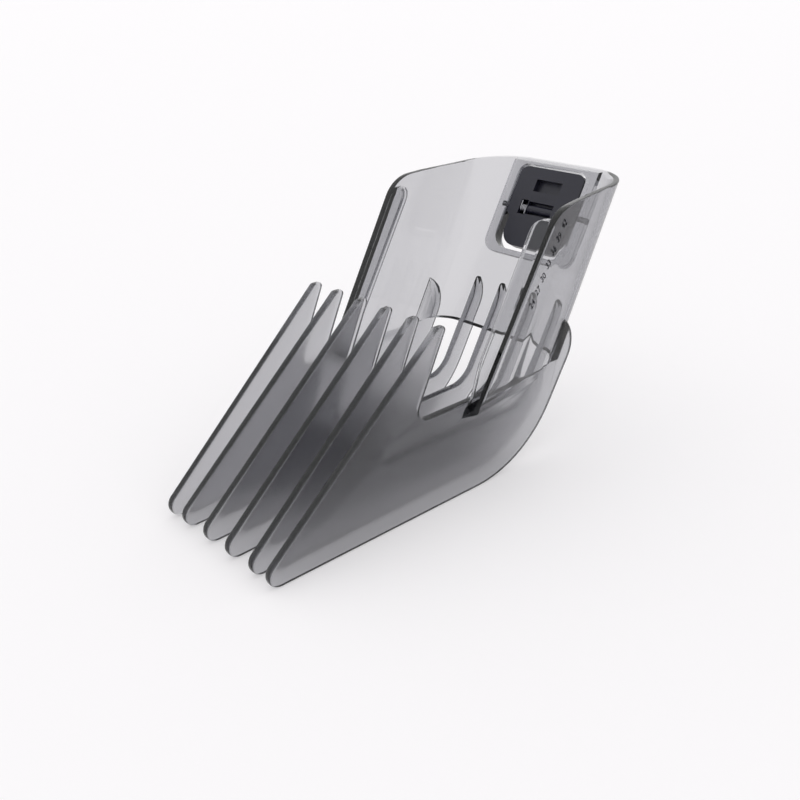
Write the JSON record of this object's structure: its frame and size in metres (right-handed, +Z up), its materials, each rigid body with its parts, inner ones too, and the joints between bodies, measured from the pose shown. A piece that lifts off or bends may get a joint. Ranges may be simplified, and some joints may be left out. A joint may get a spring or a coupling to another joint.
{
  "type": "hair clipper guide comb",
  "caption": "Adjustable guide comb for a hair clipper: long parallel fins under a leaning open-front sleeve that slides over the clipper, with a sprung rocker latch.",
  "frame": {"origin": "centre of the bounding box, on the surface the fins stand on", "axes": "+X across the comb to its right as seen from the fin noses, +Y from the fin noses towards the sleeve, +Z up"},
  "size_m": [0.0584, 0.1273, 0.0716],
  "materials": {
    "smoke_plastic": "clear moulded plastic with a smoke tint",
    "rocker_plastic": "fine satin",
    "steel": "bright drawn wire",
    "scale_ink": "pad-printed ink"
  },
  "bodies": {
    "comb": {"fin_1": "smoke_plastic", "fin_2": "smoke_plastic", "fin_3": "smoke_plastic", "fin_4": "smoke_plastic", "fin_5": "smoke_plastic", "fin_6": "smoke_plastic", "side_wall_left": "smoke_plastic", "side_wall_right": "smoke_plastic", "rear_corner_left": "smoke_plastic", "rear_corner_right": "smoke_plastic", "back_wall": "smoke_plastic", "guide_rail_left": "smoke_plastic", "guide_rail_right": "smoke_plastic", "latch_frame": "smoke_plastic", "latch_pin": "steel", "latch_spring": "steel", "scale_numerals": "scale_ink"},
    "rocker": {"latch_rocker": "rocker_plastic"}
  },
  "joints": [
    {"name": "rocker_hinge", "type": "hinge", "parent": "comb", "child": "rocker", "pos_m": [0, 0.05416, 0.05916], "axis": [-1, 0, 0], "range_deg": [0, 8], "stiffness_Nm_per_rad": 0.05, "springref_deg": -11.46, "deforming": ["latch_spring"]}
  ]
}
